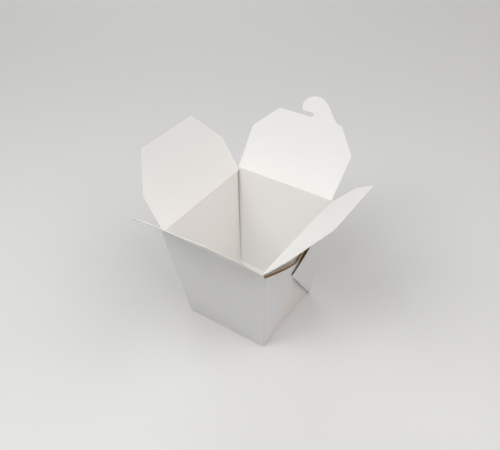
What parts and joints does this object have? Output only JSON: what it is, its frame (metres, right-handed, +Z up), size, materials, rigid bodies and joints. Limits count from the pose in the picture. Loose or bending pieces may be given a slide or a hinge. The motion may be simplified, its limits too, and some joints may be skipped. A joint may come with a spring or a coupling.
{
  "type": "noodle box",
  "caption": "Open folded paperboard food carton with tapered walls, double-folded corner webs and hinged top flaps, one with a locking hook and one with a slit for it.",
  "frame": {"origin": "centre of the underside of the base", "axes": "+Z up out of the open mouth, +X towards the right side wall (a wall with folded webs), -Y towards the front wall that carries the slot flap"},
  "size_m": [0.1424, 0.1697, 0.1339],
  "materials": {
    "carton_board": "matt white board, uncoated feel, cream at the cut edges",
    "hook_flap_board": "matt white board, uncoated feel, cream at the cut edges",
    "slot_flap_board": "matt white board, uncoated feel, cream at the cut edges",
    "left_flap_board": "matt white board, uncoated feel, cream at the cut edges",
    "right_flap_board": "matt white board, uncoated feel, cream at the cut edges"
  },
  "bodies": {
    "carton": {"carton_body": "carton_board"},
    "hook_flap": {"hook_flap": "hook_flap_board"},
    "slot_flap": {"slot_flap": "slot_flap_board"},
    "left_dust_flap": {"left_dust_flap": "left_flap_board"},
    "right_dust_flap": {"right_dust_flap": "right_flap_board"}
  },
  "joints": [
    {"name": "hook_flap_fold", "type": "hinge", "parent": "carton", "child": "hook_flap", "pos_m": [0, 0.04478, 0.0842], "axis": [1, 0, 0], "range_deg": [-82, 128]},
    {"name": "slot_flap_fold", "type": "hinge", "parent": "carton", "child": "slot_flap", "pos_m": [0, -0.04478, 0.0842], "axis": [-1, 0, 0], "range_deg": [-84.65, 128.35]},
    {"name": "left_dust_flap_fold", "type": "hinge", "parent": "carton", "child": "left_dust_flap", "pos_m": [-0.0392, 0, 0.0822], "axis": [0, 1, 0], "range_deg": [-59.7, 122.1]},
    {"name": "right_dust_flap_fold", "type": "hinge", "parent": "carton", "child": "right_dust_flap", "pos_m": [0.0392, 0, 0.0822], "axis": [0, -1, 0], "range_deg": [-47.5, 132.5]}
  ]
}
